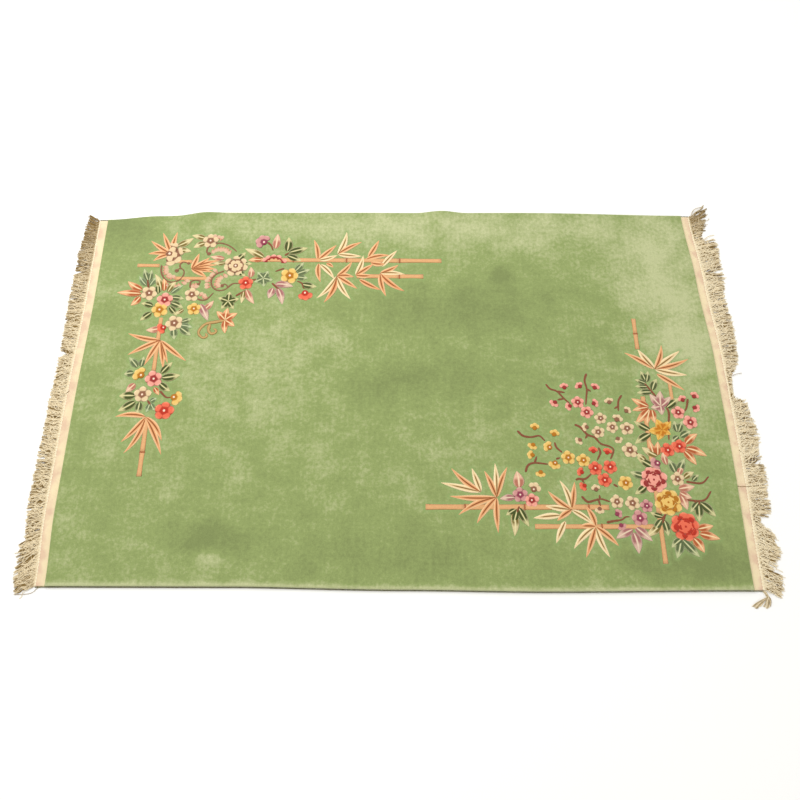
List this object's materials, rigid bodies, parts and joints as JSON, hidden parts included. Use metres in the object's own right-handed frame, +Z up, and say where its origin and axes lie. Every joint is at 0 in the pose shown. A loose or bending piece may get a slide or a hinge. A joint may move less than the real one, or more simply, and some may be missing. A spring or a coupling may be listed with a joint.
{
  "type": "chinese rug",
  "caption": "Thick knotted wool rug, flat on the floor, with floral sprays in opposite corners, woven cotton end bands and cotton fringe.",
  "frame": {"origin": "middle of the pile field, on its flat underside", "axes": "+X along the rug's length, +Y across it towards the rippled long side, +Z up out of the pile"},
  "size_m": [2.6827, 1.6685, 0.0294],
  "materials": {
    "wool_pile": "cut wool pile, matt, jade green with coloured motifs",
    "wool_overcast": "whipped wool yarn, matt, dull green",
    "cotton_web": "plain-woven cotton, matt, cream",
    "cotton_fringe": "twisted cotton warps, matt, cream gone tan"
  },
  "bodies": {
    "root": {"pile_field": "wool_pile", "selvedge_near": "wool_overcast", "selvedge_far": "wool_overcast", "band_left": "cotton_web", "band_right": "cotton_web", "fringe_left": "cotton_fringe", "fringe_right": "cotton_fringe"}
  },
  "joints": []
}
